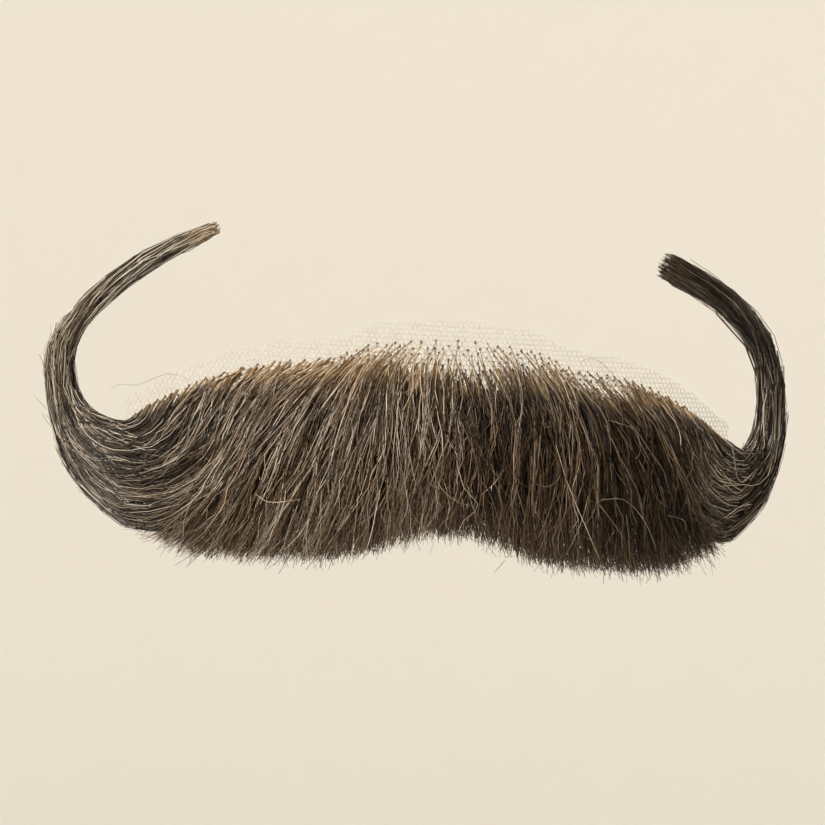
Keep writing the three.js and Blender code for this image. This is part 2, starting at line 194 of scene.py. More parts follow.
RIGHT = {
    "name": "right",
    "sign": 1,
    "reach": 62.7,
    "rise": 21.4,
    "seam_top": 53.6,
    "seam_foot": 49.6,
    "first_pitch": 1.8,
    "parting_thin": 3.2,
    "thin_to": 0.16,
    "fan": {
        "at": [0.00, 0.12, 0.36, 0.60, 0.80, 1.00, 1.34, 1.70, 2.00],
        "root": [0.00, 0.05, 0.20, 0.34, 0.46, 0.58, 0.70, 0.80, 0.93],
        "leave": [2, 12, 34, 42, 44, 44, 44, 46, 46],
        "arrive": [2, 6, 13, 19, 26, 42, 63, 76, 84],
    },
    "path": {
        "out": [0.877, 0.923, 0.958, 0.981, 0.991, 0.974, 0.943, 0.885, 0.787, 0.681, 0.568],
        "up": [-0.841, -0.738, -0.591, -0.375, -0.100, 0.138, 0.346, 0.544, 0.731, 0.863, 0.994],
        "heading": [-5, 8, 22, 45, 80, 103, 120, 141, 153, 155, 163],
        "width": [2.90, 2.31, 1.88, 1.38, 1.08, 1.03, 1.06, 1.12, 1.14, 1.16, 0.90],
        "bulk": [1.06, 1.10, 1.10, 1.06, 1.02, 1.00, 0.98, 0.96, 0.92, 0.84, 0.60],
    },
    "tip_fray": 0.6,
    "tip_gather": 0.8,
    # Painted shade: the right wing's combed hair is made darker, as it lies away from the light.
    "tone": -0.24,
    "shaded": 0.12,
    "tip_colour": (0.12, 0.08, 0.045),
    "bend_tone": 0.44,
    # Painted shade on the second half of the right curl, which the light reaches less.
    "later_light_and_shade": -0.26,
    "curl_spread": 1.6,
    "curl_wander": 1.1,
    "edge_hairs": 25,
    "edge_reach": 3.0,
}


def read(table, key, column, at):
    """A column of a table, read smoothly at one or many places along its key."""
    keys = np.array(table[key], float)
    values = np.array(table[column], float)
    low = np.maximum(np.arange(len(keys)) - 1, 0)
    high = np.minimum(np.arange(len(keys)) + 1, len(keys) - 1)
    slopes = (values[high] - values[low]) / (keys[high] - keys[low])
    at = np.asarray(at, float)
    row = np.clip(np.searchsorted(keys, at, side="left") - 1, 0, len(keys) - 2)
    span = keys[row + 1] - keys[row]
    t = np.clip((at - keys[row]) / span, 0, 1)
    start = values[row] * (1 - t) ** 2 * (1 + 2 * t)
    end = values[row + 1] * t**2 * (3 - 2 * t)
    return start + end + span * t * (1 - t) * (slopes[row] * (1 - t) - slopes[row + 1] * t)


def smooth(value, low, high):
    """0 below low, 1 above high and a soft step between them."""
    t = np.clip((np.asarray(value, float) - low) / (high - low), 0, 1)
    return t * t * (3 - 2 * t)


def wrap(x):
    """How far back the glued surface lies at a distance from the parting."""
    turned = np.maximum(np.abs(x) - SEAT_WIDTH / 2, 0) / (OUTER_EDGE - SEAT_WIDTH / 2)
    return WRAP_DEPTH * turned**WRAP_POWER


def knot_height(out):
    """Height of the first row of knots."""
    return ROOT_RISE - ROOT_FALL * read(KNOT_ROW, "out", "down", np.minimum(out / WING_REACH, 1))


def cut_height(out):
    """Height of the cut ends."""
    drop = read(CUT_ROW, "out", "drop", np.minimum(out / WING_REACH, 1))
    return -(PARTING_DROP + (WING_DROP - PARTING_DROP) * drop)


def lock_place(side, at, way):
    """Distance from the parting and height, on the way from the knots to the cut ends or the seam."""
    root_out = read(side["fan"], "at", "root", at) * side["seam_top"]
    root_up = knot_height(root_out)
    cut_out = np.minimum(at, 1) * side["seam_foot"]
    seam = np.clip(at - 1, 0, 1)
    end_out = cut_out + seam * (side["seam_top"] - side["seam_foot"])
    end_up = cut_height(cut_out) + seam * (knot_height(side["seam_top"]) - cut_height(side["seam_foot"]))
    length = np.hypot(end_out - root_out, end_up - root_up)
    leave = np.radians(read(side["fan"], "at", "leave", at))
    arrive = np.radians(read(side["fan"], "at", "arrive", at))
    early = length * way * (1 - way) ** 2
    late = length * way**2 * (1 - way) * (1 + SEAM_SWEEP * smooth(at, 0.95, 1.2))
    ease = way**2 * (3 - 2 * way)
    out = root_out + (end_out - root_out) * ease + early * np.sin(leave) - late * np.sin(arrive)
    up = root_up + (end_up - root_up) * ease - early * np.cos(leave) + late * np.cos(arrive)
    return out, up


def lock_length(side, at):
    """Straight distance from a knot to the end of its lock."""
    first = lock_place(side, at, 0.0)
    last = lock_place(side, at, 1.0)
    return np.hypot(last[0] - first[0], last[1] - first[1])


def wing_bulk(at, way):
    """Thickness of a wing."""
    end = CUT_BULK + (CURL_BULK - CUT_BULK) * smooth(at, 0.7, 1.1)
    full = ROOT_BULK + (HAIR_BULK - ROOT_BULK) * read(BULK_RISE, "way", "swell", way)
    return full + (end - full) * read(BULK_RISE, "way", "ended", way)


def curl_stations(side):
    """A curl's path from its seam to its tip, as columns in millimetres and radians."""
    path = side["path"]
    foot = np.array([side["seam_foot"], cut_height(side["seam_foot"])])
    top = np.array([side["seam_top"], knot_height(side["seam_top"])])
    rise = top - foot
    onward = np.array([rise[1], -rise[0]]) / np.hypot(*rise)
    middle = (foot + top) / 2 + onward * SEAT_GAP
    heading = math.atan2(onward[1], onward[0])
    return {
        "at": np.linspace(0, 1, len(path["out"]) + 1),
        "x": [middle[0], *(np.array(path["out"]) * side["reach"])],
        "z": [middle[1], *(np.array(path["up"]) * side["rise"])],
        "heading": [heading, *np.radians(path["heading"])],
        "width": [np.hypot(*rise), *(np.array(path["width"]) * CURL_WIDTH)],
        "bulk": [CURL_BULK, *(np.array(path["bulk"]) * CURL_BULK)],
    }


def slab_depth(across):
    """How deep a curl's flat start is at a place across it, as a share of its half."""
    return (1 - np.abs(across) ** 6) ** (1 / 6)


def curl_place(side, stations, at, across, face, radius):
    """A place in a curl: across runs from its outer side (-1) to its inner side (1) and face says
    whether it is in the front half (1) or the back half (-1), at a share of the sheaf's radius."""
    column = {key: read(stations, "at", key, at) for key in ("x", "z", "heading", "width", "bulk")}
    drawn = smooth(at, 0, ROUND_FROM)
    held = NET_WALL + SEAT_GAP + column["bulk"] / 2
    held = held + (CURL_STANDOFF - held) * drawn
    standoff = held + (TIP_STANDOFF - held) * smooth(at, ROUND_FROM, 1)
    slab_deep = face * radius * slab_depth(across)
    angle = face * (math.pi / 2) * (1 - across) + CURL_TWIST * smooth(at, ROUND_FROM, 1)
    wide = across + (radius * np.cos(angle) - across) * drawn
    deep = slab_deep + (radius * np.sin(angle) - slab_deep) * drawn
    sine = np.sin(column["heading"])
    cosine = np.cos(column["heading"])
    x = column["x"] - sine * wide * column["width"] / 2
    z = column["z"] + cosine * wide * column["width"] / 2
    slope = (wrap(column["x"] + 0.5) - wrap(column["x"] - 0.5)) * drawn
    stretch = np.sqrt(1 + (slope * cosine) ** 2)
    push = deep * column["bulk"] / 2 / stretch
    x = x + push * slope * cosine**2
    z = z + push * slope * cosine * sine
    follow = wrap(x) + (wrap(column["x"]) - wrap(x)) * drawn
    return x, follow - standoff - push, z


# Guides: the middle line of each lock of a few hairs

def at_of_root(side, out):
    """The place in the fan of a knot that lies at a distance from the parting."""
    fan = np.linspace(0, 2, 400)
    return np.interp(out, read(side["fan"], "at", "root", fan) * side["seam_top"], fan)


def knots(side, rng):
    """Every knot of one side: its place in the fan, its drop below the first row and its row."""
    rows = []
    last = read(side["fan"], "at", "root", 2.0) * side["seam_top"]
    for row in range(KNOT_ROWS):
        pitch = side["first_pitch"] if row == 0 else KNOT_PITCH
        out = np.arange(0.3 + (row % 2) * pitch / 2, last, pitch)
        out = out + rng.uniform(-KNOT_SIDE_SHIFT, KNOT_SIDE_SHIFT, len(out)) * pitch
        thin = (out < side["parting_thin"]) & (row < THINNED_ROWS)
        out = out[~(thin & (rng.random(len(out)) < MISSING_KNOTS))]
        at = at_of_root(side, np.clip(out, 0.1, last))
        drop = row * ROW_PITCH * (1 - 0.25 * smooth(at, 1.2, 2))
        drop = drop + rng.uniform(-KNOT_DROP_SHIFT, KNOT_DROP_SHIFT, len(out))
        rows.append(np.column_stack([at, np.maximum(drop, 0), np.full(len(out), row)]))
    found = np.concatenate(rows)
    return found[found[:, 1] < LOWEST_KNOT * lock_length(side, found[:, 0])]


def wing_guides(side, rng, rows, last, share, steps):
    """Locks that hang from the knots of some rows down to the cut ends, and on the outer side towards
    the curl. They lean, sway and draw together in uneven clumps. Last is the last place in the fan
    that is used, and share is the part of those rows' locks that is made."""
    found = side["knots"]
    found = found[(found[:, 0] < last) & np.isin(found[:, 2], rows)]
    root_at = [read(side["fan"], "at", "root", found[:, 0] + shift) for shift in (-0.05, 0.05)]
    fanning = root_at[1] - root_at[0]
    past_thin = smooth(found[:, 0], side["thin_to"] - 0.06, side["thin_to"] + 0.06)
    fuller = 1 + 0.8 * past_thin * (found[:, 2] < THINNED_ROWS)
    fuller = fuller * (1 - 0.75 * smooth(found[:, 0], 1.08, 1.2))
    locks = np.take(ROW_LOCKS, found[:, 2].astype(int)) * fuller * USUAL_FANNING / np.maximum(fanning, 0.02)
    locks = np.floor(locks * share + rng.random(len(found))).astype(int)
    locks = np.maximum(locks, found[:, 2] < SHOWN_ROWS)
    found = np.repeat(found, locks, axis=0)
    count = len(found)
    at, drop, row = found.T
    above = (np.cumsum(ROW_LOCKS) - np.array(ROW_LOCKS) / 2) / np.sum(ROW_LOCKS)
    layer = np.clip(1 - above[row.astype(int)] + rng.uniform(-0.12, 0.12, count), 0.04, 1)
    lean = rng.normal(0, 0.07, count)
    borders = np.cumsum(rng.uniform(*CLUMP_WIDTH, CLUMPS)) - 0.05
    clump = np.clip(np.searchsorted(borders, at + lean) - 1, 0, CLUMPS - 2)
    centre = (borders[clump] + borders[clump + 1]) / 2
    hold = rng.uniform(*CLUMP_HOLD, CLUMPS - 1)[clump]
    along = np.linspace(0, 1, steps)[None, :]
    pull = ((centre - at - lean) * hold)[:, None] * along**2
    pace = rng.uniform(2, 7, count)[:, None]
    start_turn = rng.uniform(0, 6.3, count)[:, None]
    sway = rng.normal(0, 0.028, count)[:, None] * np.sin(along * pace + start_turn) * along
    weave = 1 + rng.normal(0, 0.24, count)[:, None] * np.sin(along * pace * 1.3 - start_turn)
    length = lock_length(side, at)
    start = (drop / length)[:, None]
    end = 1 - rng.normal(1.2, 0.6, count) / length + rng.uniform(0.0, 0.08, count) * smooth(at, 1.0, 1.08)
    end = end - rng.uniform(0.0, 0.28, count) * smooth(at, 1.08, 1.2)
    way = start + (end[:, None] - start) * along
    fan = at[:, None] + lean[:, None] * smooth(along, 0, 0.6) + pull + sway
    fan = np.clip(fan, -0.15, np.maximum(at, 1.05)[:, None] + 0.1)
    out, up = lock_place(side, np.abs(fan), way)
    proud = rng.uniform(0, 0.9, count)[:, None] * (layer[:, None] > 0.7)
    lift = wing_bulk(np.abs(fan), np.clip(way, 0, 1)) * layer[:, None] * weave + proud * along
    strayed = rng.normal(0.10, 0.30, count) * length
    out = np.sign(fan) * out + strayed[:, None] * along * (1 - along) ** 2
    x = side["sign"] * out
    y = wrap(x) - NET_WALL - ROOT_STANDOFF - lift * smooth(along, -0.04, 0.3)
    # A combed hair's tone: the side's tone, painted shade on the right; lower layers darker, painted shade
    # deep in the wing; and painted shade just before the seam.
    shaded = side["shaded"] * np.exp(-(((at - 0.90) / 0.16) ** 2))
    tone = 0.50 + side["tone"] + 0.03 * rng.normal(0, 1, count) + 0.50 * (layer - 0.7) - shaded
    return np.stack([x, y, up], axis=2), tone


def spline(places, steps):
    """Smooth curves that follow rows of places, with as many points as asked, closest in the turn."""
    count = places.shape[1]
    first = 2 * places[:, :1] - places[:, 1:2]
    last = 2 * places[:, -1:] - places[:, -2:-1]
    places = np.concatenate([first, places, last], axis=1)
    along = np.interp(np.linspace(0, 1, steps), [0, 0.12, 0.52, 1], [0, 2.5, 8.5, count - 1])
    row = np.minimum(along.astype(int), count - 2)
    t = (along - row)[None, :, None]
    weights = [(1 - t) ** 3, 4 - 6 * t**2 + 3 * t**3, 1 + 3 * t + 3 * t**2 - 3 * t**3, t**3]
    return sum(weight * places[:, row + k] for k, weight in enumerate(weights)) / 6


def curl_guides(side, rng, count, steps, reach, surface, flare):
    """Locks that run from the outer knots through the seam and along the curl. Reach gives the
    shortest and longest share of the curl that they follow, surface how much they keep to its
    outside, and flare how far their ends stand out."""
    found = side["knots"]
    found = found[found[:, 0] > 0.9]
    likely = np.take(ROW_LOCKS, found[:, 2].astype(int)).astype(float)
    picked = np.flatnonzero(found[:, 2] < SHOWN_ROWS)[:count]
    picked = np.append(picked, rng.choice(len(found), count - len(picked), p=likely / likely.sum()))
    at, drop = found[picked, :2].T
    drop = drop + rng.uniform(-0.15, 0.15, count)
    across = np.clip(2 * at - 3 + rng.normal(0, 0.10, count), -CURL_EDGE, CURL_EDGE)
    at = np.clip(at, 1, 2)
    face = np.where(rng.random(count) < 0.62, 1.0, -1.0)
    radius = 1 - (1 - surface) * rng.random(count) ** 1.5
    layer = (face * radius * slab_depth(across) + 1) / 2
    length = lock_length(side, at)
    start = (np.minimum(np.maximum(drop, 0), 0.6 * length) / length)[:, None]
    root_points = 6
    along = np.linspace(0, 1, root_points)[None, :]
    way = start + (0.90 - start) * along
    out, up = lock_place(side, np.repeat(at[:, None], root_points, axis=1), way)
    lift = wing_bulk(at[:, None], way) * layer[:, None] * smooth(along, -0.05, 0.5)
    root = np.stack([out, wrap(out) - NET_WALL - ROOT_STANDOFF - SEAT_GAP * along - lift, up], axis=2)
    end = reach[0] + (reach[1] - reach[0]) * rng.random(count) ** 0.5
    onward = np.linspace(0, 1, 12)[None, :]
    along = 0.05 + (end[:, None] - 0.05) * onward**1.15
    bundle = np.round(across * BUNDLES + rng.uniform(-0.4, 0.4, count)) / BUNDLES
    roam = rng.normal(0, 0.26, count)[:, None] * np.sin(along * 14 + rng.uniform(0, 6.3, count)[:, None])
    roam = roam * (1 + 0.5 * smooth(along, 0.35, 0.6))
    wide = across[:, None] + (bundle - across)[:, None] * BUNDLE_HOLD * smooth(along, 0.1, 0.4) + roam
    fray = 1 + side["tip_fray"] * 0.5 * smooth(along, 0.9, 1)
    fray = fray + flare * rng.random(count)[:, None] * onward**3
    slimmed = 1 - 0.22 * smooth(along, 0.15, 0.4)
    place = (np.clip(wide, -CURL_EDGE, CURL_EDGE), face[:, None], radius[:, None] * fray * slimmed)
    x, y, z = curl_place(side, side["stations"], along, *place)
    places = spline(np.concatenate([root, np.stack([x, y, z], axis=2)], axis=1), steps)
    places[:, :, 0] *= side["sign"]
    tone = side["bend_tone"] + 0.04 * rng.normal(0, 1, count)
    return places, tone


def edge_guides(side, rng):
    """Short hair ends that stand out from the edges of a curl."""
    count = side["edge_hairs"]
    at = 0.92 * rng.beta(1.1, 2.2, count)
    across = np.where(rng.random(count) < 0.75, -0.98, 0.98)
    face = np.where(rng.random(count) < 0.7, 1.0, -1.0)
    here = np.stack(curl_place(side, side["stations"], at, across, face, 0.95), axis=1)
    later = np.stack(curl_place(side, side["stations"], at + 0.02, across, face, 0.95), axis=1)
    middle = np.stack(curl_place(side, side["stations"], at, 0 * at, face, 0 * at), axis=1)
    onward = (later - here) / np.linalg.norm(later - here, axis=1)[:, None]
    outward = (here - middle) / np.linalg.norm(here - middle, axis=1)[:, None]
    along = np.linspace(0, 1, 5)[None, :, None]
    length = rng.uniform(1.0, side["edge_reach"], count)[:, None, None]
    spread = rng.uniform(0.05, 0.4, count)[:, None, None]
    places = here[:, None, :] - outward[:, None, :] * 0.5
    places = places + length * (onward[:, None, :] * along + outward[:, None, :] * spread * along**1.5)
    places[:, :, 0] *= side["sign"]
    return places, rng.uniform(0.3, 0.8, count)


def crossing_guides(side, rng, count):
    """Single hairs that lie across the front of a wing, each with a bend of its own."""
    at = rng.uniform(0.02, 1.25, count)
    way = rng.uniform(0.08, 0.75, count)
    out, up = lock_place(side, at, way)
    later_out, later_up = lock_place(side, at, way + 0.05)
    heading = np.arctan2(later_up - up, later_out - out) + rng.normal(0, 0.24, count)
    points = 8
    along = np.linspace(0, 1, points)[None, :]
    turn = heading[:, None] + rng.normal(0, 1.0, count)[:, None] * along
    step = rng.uniform(4, 12, count)[:, None] / (points - 1)
    x = out[:, None] + np.cumsum(np.cos(turn), axis=1) * step
    z = up[:, None] + np.cumsum(np.sin(turn), axis=1) * step
    off = wing_bulk(at, way)[:, None] + NET_WALL + 0.3 + rng.uniform(0.2, 1.2, count)[:, None] * along
    return np.stack([side["sign"] * x, wrap(x) - off, z], axis=2), rng.uniform(0.30, 0.85, count)


def loose_guides(side):
    """The single hairs of the table that lie on one side."""
    places = []
    tones = []
    for row in LOOSE_HAIRS:
        if row["x"][0] * side["sign"] > 0:
            table = {**row, "passed": np.linspace(0, 1, len(row["x"]))}
            along = np.linspace(0, 1, 10)
            x = read(table, "passed", "x", along)
            z = read(table, "passed", "z", along)
            places.append(np.stack([x, wrap(x) - row["off"], z], axis=1))
            tones.append(row["tone"])
    return np.array(places), np.array(tones)


def object_of(mesh):
    """A new object in the scene, with a mesh and its name."""
    made = bpy.data.objects.new(mesh.name, mesh)
    bpy.context.scene.collection.objects.link(made)
    return made


def mesh_of(name, points, edges=(), faces=()):
    """A mesh of points in millimetres."""
    mesh = bpy.data.meshes.new(name)
    mesh.from_pydata((np.array(points) * MM).tolist(), edges, faces)
    return mesh


def lines_object(name, places, tone):
    """An object of loose polylines, one for each guide, with a tone on every point."""
    count, steps = places.shape[:2]
    first = np.arange(count)[:, None] * steps + np.arange(steps - 1)[None, :]
    edges = np.stack([first, first + 1], axis=2).reshape(-1, 2)
    mesh = mesh_of(name, places.reshape(-1, 3), edges.tolist())
    layer = mesh.attributes.new("tone", "FLOAT", "POINT")
    layer.data.foreach_set("value", np.repeat(np.clip(tone, 0.02, 0.98), steps))
    return object_of(mesh)


# Geometry Nodes

def add_node(tree, kind, sockets=(), out=0, **settings):
    """Adds a node, sets its settings and sockets, and gives one of its outputs."""
    node = tree.nodes.new(kind)
    for key, value in settings.items():
        setattr(node, key, value)
    for key, value in dict(sockets).items():
        if isinstance(value, bpy.types.NodeSocket):
            tree.links.new(value, node.inputs[key])
        else:
            node.inputs[key].default_value = value
    return node.outputs[out]


class Tree:
    """A node tree with named inputs, and short ways to add and join its nodes."""

    def __init__(self, name, inputs):
        self.tree = bpy.data.node_groups.new(name, "GeometryNodeTree")
        face = self.tree.interface
        face.new_socket("Geometry", in_out="INPUT", socket_type="NodeSocketGeometry")
        face.new_socket("Geometry", in_out="OUTPUT", socket_type="NodeSocketGeometry")
        for label, kind in inputs:
            face.new_socket(label, in_out="INPUT", socket_type="NodeSocket" + kind)
        self.given = self.tree.nodes.new("NodeGroupInput").outputs

    def add(self, *given, **settings):
        return add_node(self.tree, *given, **settings)

    def math(self, operation, first, second=0.0):
        return self.add("ShaderNodeMath", {0: first, 1: second}, operation=operation)

    def vector(self, operation, first, second):
        return self.add("ShaderNodeVectorMath", {0: first, 1: second}, operation=operation)

    def scaled(self, vector, share):
        return self.add("ShaderNodeVectorMath", {0: vector, "Scale": share}, operation="SCALE")

    def between(self, value, from_low, from_high, to_low, to_high):
        """A value carried from one range to another with a soft step, and held at its ends."""
        sockets = {0: value, 1: from_low, 2: from_high, 3: to_low, 4: to_high}
        return self.add("ShaderNodeMapRange", sockets, interpolation_type="SMOOTHSTEP")

    def random(self, low, high, number, seed):
        sockets = {2: low, 3: high, "ID": number, "Seed": seed}
        return self.add("FunctionNodeRandomValue", sockets, out=1, data_type="FLOAT")

    def random_vector(self, number, seed):
        sockets = {0: (-1, -1, -1), 1: (1, 1, 1), "ID": number, "Seed": seed}
        return self.add("FunctionNodeRandomValue", sockets, out=0, data_type="FLOAT_VECTOR")

    def named(self, name, data_type="FLOAT"):
        return self.add("GeometryNodeInputNamedAttribute", {"Name": name}, data_type=data_type)

    def store(self, geometry, name, value, data_type="FLOAT", domain="POINT"):
        sockets = {"Geometry": geometry, "Name": name, "Value": value}
        settings = {"data_type": data_type, "domain": domain}
        return self.add("GeometryNodeStoreNamedAttribute", sockets, **settings)

    def tube(self, curve, radius, sides):
        """A closed tube along each curve, with the side of each point kept as an attribute."""
        ring = self.add("GeometryNodeCurvePrimitiveCircle", {"Resolution": sides, "Radius": 1.0})
        sized = self.add("GeometryNodeSetCurveRadius", {"Curve": curve, "Radius": 1.0})
        sockets = {"Curve": sized, "Profile Curve": ring, "Scale": radius, "Fill Caps": True}
        mesh = self.add("GeometryNodeCurveToMesh", sockets)
        place = self.math("MODULO", self.add("GeometryNodeInputIndex"), float(sides))
        return self.store(mesh, "ring_side", place)

    def bake_map(self, mesh, u, v):
        """The piece's own map. Both of its axes change round a tube, so that no face is a line on it."""
        side = self.named("ring_side")
        first = self.math("LESS_THAN", side, 0.5)
        u = self.math("ADD", u, self.math("MULTIPLY", first, 0.004))
        v = self.math("ADD", v, self.math("MULTIPLY", side, 0.003))
        place = self.add("ShaderNodeCombineXYZ", {0: u, 1: v})
        mesh = self.store(mesh, "map_place", place, "FLOAT_VECTOR")
        place = self.named("map_place", "FLOAT_VECTOR")
        return self.store(mesh, "OFBake", place, "FLOAT2", "CORNER")

    def finish(self, mesh, material, dropped=()):
        """Drops the working attributes, makes everything real and sets the material."""
        for name in ("ring_side", "map_place", *dropped):
            mesh = self.add("GeometryNodeRemoveAttribute", {"Geometry": mesh, "Name": name})
        mesh = self.add("GeometryNodeSetShadeSmooth", {"Geometry": mesh})
        mesh = self.add("GeometryNodeRealizeInstances", {"Geometry": mesh})
        mesh = self.add("GeometryNodeSetMaterial", {"Geometry": mesh, "Material": material})
        self.tree.links.new(mesh, self.tree.nodes.new("NodeGroupOutput").inputs[0])
        return self.tree


def hair_tree():
    """Turns each guide into several hairs that leave one knot together, splay, cross and taper."""
    inputs = [
        ("Hairs per Lock", "Int"),
        ("Hair Width", "Float"),
        ("Root Share", "Float"),
        ("Tip Share", "Float"),
        ("Root Splay", "Float"),
        ("Body Splay", "Float"),
        ("Tip Splay", "Float"),
        ("Wander", "Float"),
        ("Wander Scale", "Float"),
        ("Gather", "Float"),
        ("Length Loss", "Float"),
        ("Tone Spread", "Float"),
        ("Seed", "Int"),
        ("Hair", "Material"),
    ]
    t = Tree("hairs along guides", inputs)
    given = t.given
    guides = t.add("GeometryNodeMeshToCurve", {"Mesh": given["Geometry"]})
    sockets = {"Geometry": guides, "Amount": given["Hairs per Lock"]}
    hairs = t.add("GeometryNodeDuplicateElements", sockets, domain="SPLINE")
    number = t.add("GeometryNodeInputIndex")
    seed = given["Seed"]
    hairs = t.store(hairs, "splay", t.random_vector(number, seed), "FLOAT_VECTOR", "CURVE")
    second = t.random_vector(number, t.math("ADD", seed, 1.0))
    hairs = t.store(hairs, "second_splay", second, "FLOAT_VECTOR", "CURVE")
    own_tone = t.random(-0.5, 0.5, number, t.math("ADD", seed, 2.0))
    hairs = t.store(hairs, "own_tone", own_tone, "FLOAT", "CURVE")
    own_width = t.random(0.65, 1.25, number, t.math("ADD", seed, 3.0))
    hairs = t.store(hairs, "own_width", own_width, "FLOAT", "CURVE")
    wild = t.math("POWER", t.random(0.0, 1.0, number, t.math("ADD", seed, 4.0)), 4.0)
    hairs = t.store(hairs, "wild", t.math("ADD", 0.6, t.math("MULTIPLY", wild, 1.6)), "FLOAT", "CURVE")
    lost = t.math("POWER", t.random(0.0, 1.0, number, t.math("ADD", seed, 5.0)), 2.0)
    lost = t.math("MULTIPLY", lost, given["Length Loss"])
    hairs = t.add("GeometryNodeTrimCurve", {"Curve": hairs, 3: t.math("SUBTRACT", 1.0, lost)})
    hairs = t.store(hairs, "along", t.add("GeometryNodeSplineParameter"))
    along = t.named("along")
    wild = t.named("wild")
    kept = t.named("splay", "FLOAT_VECTOR")
    opened = t.between(along, 0.0, 0.3, given["Root Splay"], given["Body Splay"])
    offset = t.scaled(kept, opened)
    later = t.math("MULTIPLY", t.between(along, 0.1, 1.0, 0.0, given["Tip Splay"]), wild)
    offset = t.vector("ADD", offset, t.scaled(t.named("second_splay", "FLOAT_VECTOR"), later))
    place = t.vector("ADD", t.add("GeometryNodeInputPosition"), t.scaled(kept, 0.05))
    noise = t.add("ShaderNodeTexNoise", {"Vector": place, "Scale": given["Wander Scale"]}, out=1)
    wander = t.vector("SUBTRACT", noise, (0.5, 0.5, 0.5))
    reach = t.math("MULTIPLY", t.math("MULTIPLY", given["Wander"], along), wild)
    offset = t.vector("ADD", offset, t.scaled(wander, reach))
    offset = t.vector("MULTIPLY", offset, (1.0, 0.6, 0.75))
    offset = t.scaled(offset, t.between(along, 0.55, 1.0, 1.0, given["Gather"]))
    hairs = t.add("GeometryNodeSetPosition", {"Geometry": hairs, "Offset": offset})
    taper = t.between(along, 0.5, 1.0, 1.0, given["Tip Share"])
    taper = t.math("MULTIPLY", taper, t.between(along, 0.0, 0.25, given["Root Share"], 1.0))
    radius = t.math("MULTIPLY", given["Hair Width"], 0.5)
    radius = t.math("MULTIPLY", radius, t.math("MULTIPLY", taper, t.named("own_width")))
    mesh = t.tube(hairs, radius, 3)
    tone = t.math("MULTIPLY", t.named("own_tone"), given["Tone Spread"])
    tone = t.math("ADD", t.named("tone"), tone)
    tone = t.math("MINIMUM", t.math("MAXIMUM", tone, 0.01), 0.98)
    mesh = t.bake_map(mesh, t.math("MULTIPLY", along, 0.99), tone)
    dropped = ("splay", "second_splay", "own_tone", "own_width", "wild", "along", "tone")
    return t.finish(mesh, given["Hair"], dropped)


def net_tree():
    """Turns each edge of the net's cells into a thread."""
    inputs = [("Thread Width", "Float"), ("Net Reach", "Float"), ("Net", "Material")]
    t = Tree("net threads", inputs)
    given = t.given
    threads = t.add("GeometryNodeMeshToCurve", {"Mesh": given["Geometry"]})
    mesh = t.tube(threads, t.math("MULTIPLY", given["Thread Width"], 0.5), 4)
    split = t.add("ShaderNodeSeparateXYZ", {0: t.add("GeometryNodeInputPosition")})
    down = t.add("ShaderNodeSeparateXYZ", {0: t.add("GeometryNodeInputPosition")}, out=2)
    u = t.between(split, t.math("MULTIPLY", given["Net Reach"], -1.0), given["Net Reach"], 0.01, 0.98)
    v = t.between(down, t.math("MULTIPLY", given["Net Reach"], -1.0), given["Net Reach"], 0.01, 0.98)
    mesh = t.bake_map(mesh, u, v)
    return t.finish(mesh, given["Net"])


def knot_tree():
    """Puts a small tight knot on every point."""
    t = Tree("knots on the net", [("Knot Size", "Float"), ("Seed", "Int"), ("Knot", "Material")])
    given = t.given
    ball = t.tree.nodes.new("GeometryNodeMeshIcoSphere")
    ball.inputs["Subdivisions"].default_value = 1
    ball.inputs["Radius"].default_value = 0.5
    knot = t.store(ball.outputs[0], "OFBake", ball.outputs[1], "FLOAT2", "CORNER")
    number = t.add("GeometryNodeInputIndex")
    turn = t.scaled(t.random_vector(number, given["Seed"]), math.pi)
    size = t.math("MULTIPLY", given["Knot Size"], t.random(0.75, 1.2, number, given["Seed"]))
    size = t.add("ShaderNodeCombineXYZ", {0: size, 1: size, 2: size})
    size = t.vector("MULTIPLY", size, (1.25, 0.8, 0.85))
    points = t.add("GeometryNodeMeshToPoints", {"Mesh": given["Geometry"]})
    sockets = {"Points": points, "Instance": knot, "Rotation": turn, "Scale": size}
    placed = t.add("GeometryNodeInstanceOnPoints", sockets)
    real = t.add("GeometryNodeRealizeInstances", {"Geometry": placed})
    return t.finish(real, given["Knot"])


def grow(source, tree, values, name):
    """Runs a tree on an object with some values and keeps the result as a plain mesh object."""
    modifier = source.modifiers.new(tree.name, "NODES")
    modifier.node_group = tree
    for item in tree.interface.items_tree:
        if item.in_out == "INPUT" and item.name in values:
            modifier[item.identifier] = values[item.name]
    bpy.context.view_layer.update()
    evaluated = source.evaluated_get(bpy.context.evaluated_depsgraph_get())
    mesh = bpy.data.meshes.new_from_object(evaluated)
    source.modifiers.remove(modifier)
    bpy.data.objects.remove(source)
    mesh.name = name
    return object_of(mesh)


# Materials

def shade(name, roughness):
    """A new material, a helper that adds a node to it, and one that sets or joins a surface socket."""
    material = bpy.data.materials.new(name)
    material.use_nodes = True
    surface = material.node_tree.nodes["Principled BSDF"]
    surface.inputs["Roughness"].default_value = roughness
    surface.inputs["Specular IOR Level"].default_value = 0.22

    def add(*given, **settings):
        return add_node(material.node_tree, *given, **settings)

    def put(value, socket):
        if isinstance(value, bpy.types.NodeSocket):
            material.node_tree.links.new(value, surface.inputs[socket])
        else:
            surface.inputs[socket].default_value = value

    return material, add, put


def ramp(add, value, stops):
    """A colour read from a ramp of stops: place, then the colour in linear light."""
    colour = add("ShaderNodeValToRGB", {0: value})
    band = colour.node.color_ramp
    while len(band.elements) < len(stops):
        band.elements.new(0.5)
    for element, (place, shade_of) in zip(band.elements, stops):
        element.position = place
        element.color = (*shade_of, 1)
    return colour


